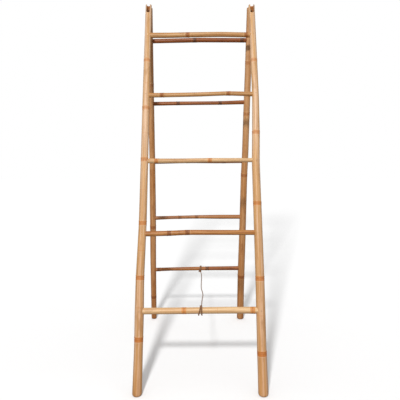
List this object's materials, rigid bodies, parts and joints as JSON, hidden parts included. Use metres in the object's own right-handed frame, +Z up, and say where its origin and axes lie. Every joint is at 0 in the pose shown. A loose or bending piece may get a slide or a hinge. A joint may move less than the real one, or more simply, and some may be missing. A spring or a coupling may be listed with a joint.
{
  "type": "towel rack",
  "caption": "Free-standing bamboo towel ladder: two ladders tied together at the top that fold flat, with a cord between the lowest rungs that limits how far they open.",
  "frame": {"origin": "on the floor, in the middle of the footprint", "axes": "+Z up, X along the rungs and the hinge line, -Y towards the front ladder's feet"},
  "size_m": [0.518, 0.7324, 1.565],
  "materials": {
    "front_pole_bamboo": "smooth pale bamboo skin, satin",
    "front_rung_bamboo": "tan bamboo cane, satin",
    "back_pole_bamboo": "browner bamboo skin, satin",
    "back_rung_bamboo": "dark brown bamboo cane, satin",
    "nail_steel": "plain steel brad",
    "jute_cord": "twisted natural fibre cord"
  },
  "bodies": {
    "front_ladder": {"front_left_pole": "front_pole_bamboo", "front_right_pole": "front_pole_bamboo", "front_rung_1": "front_rung_bamboo", "front_rung_2": "front_rung_bamboo", "front_rung_3": "front_rung_bamboo", "front_rung_4": "front_rung_bamboo", "front_rung_5": "front_rung_bamboo", "front_left_nail_1": "nail_steel", "front_left_nail_2": "nail_steel", "front_left_nail_3": "nail_steel", "front_left_nail_4": "nail_steel", "front_left_nail_5": "nail_steel", "front_right_nail_1": "nail_steel", "front_right_nail_2": "nail_steel", "front_right_nail_3": "nail_steel", "front_right_nail_4": "nail_steel", "front_right_nail_5": "nail_steel", "front_cord_knot": "jute_cord", "left_hinge_cord": "jute_cord", "right_hinge_cord": "jute_cord", "spread_cord": "jute_cord"},
    "back_ladder": {"back_left_pole": "back_pole_bamboo", "back_right_pole": "back_pole_bamboo", "back_rung_1": "back_rung_bamboo", "back_rung_2": "back_rung_bamboo", "back_rung_3": "back_rung_bamboo", "back_rung_4": "back_rung_bamboo", "back_rung_5": "back_rung_bamboo", "back_left_nail_1": "nail_steel", "back_left_nail_2": "nail_steel", "back_left_nail_3": "nail_steel", "back_left_nail_4": "nail_steel", "back_left_nail_5": "nail_steel", "back_right_nail_1": "nail_steel", "back_right_nail_2": "nail_steel", "back_right_nail_3": "nail_steel", "back_right_nail_4": "nail_steel", "back_right_nail_5": "nail_steel", "back_cord_knot": "jute_cord"}
  },
  "joints": [
    {"name": "ladder_fold", "type": "hinge", "parent": "front_ladder", "child": "back_ladder", "pos_m": [0.006, 0, 1.56504], "axis": [1, 0, 0], "range_deg": [-23.5, 0], "deforming": ["left_hinge_cord", "right_hinge_cord", "spread_cord"]}
  ]
}
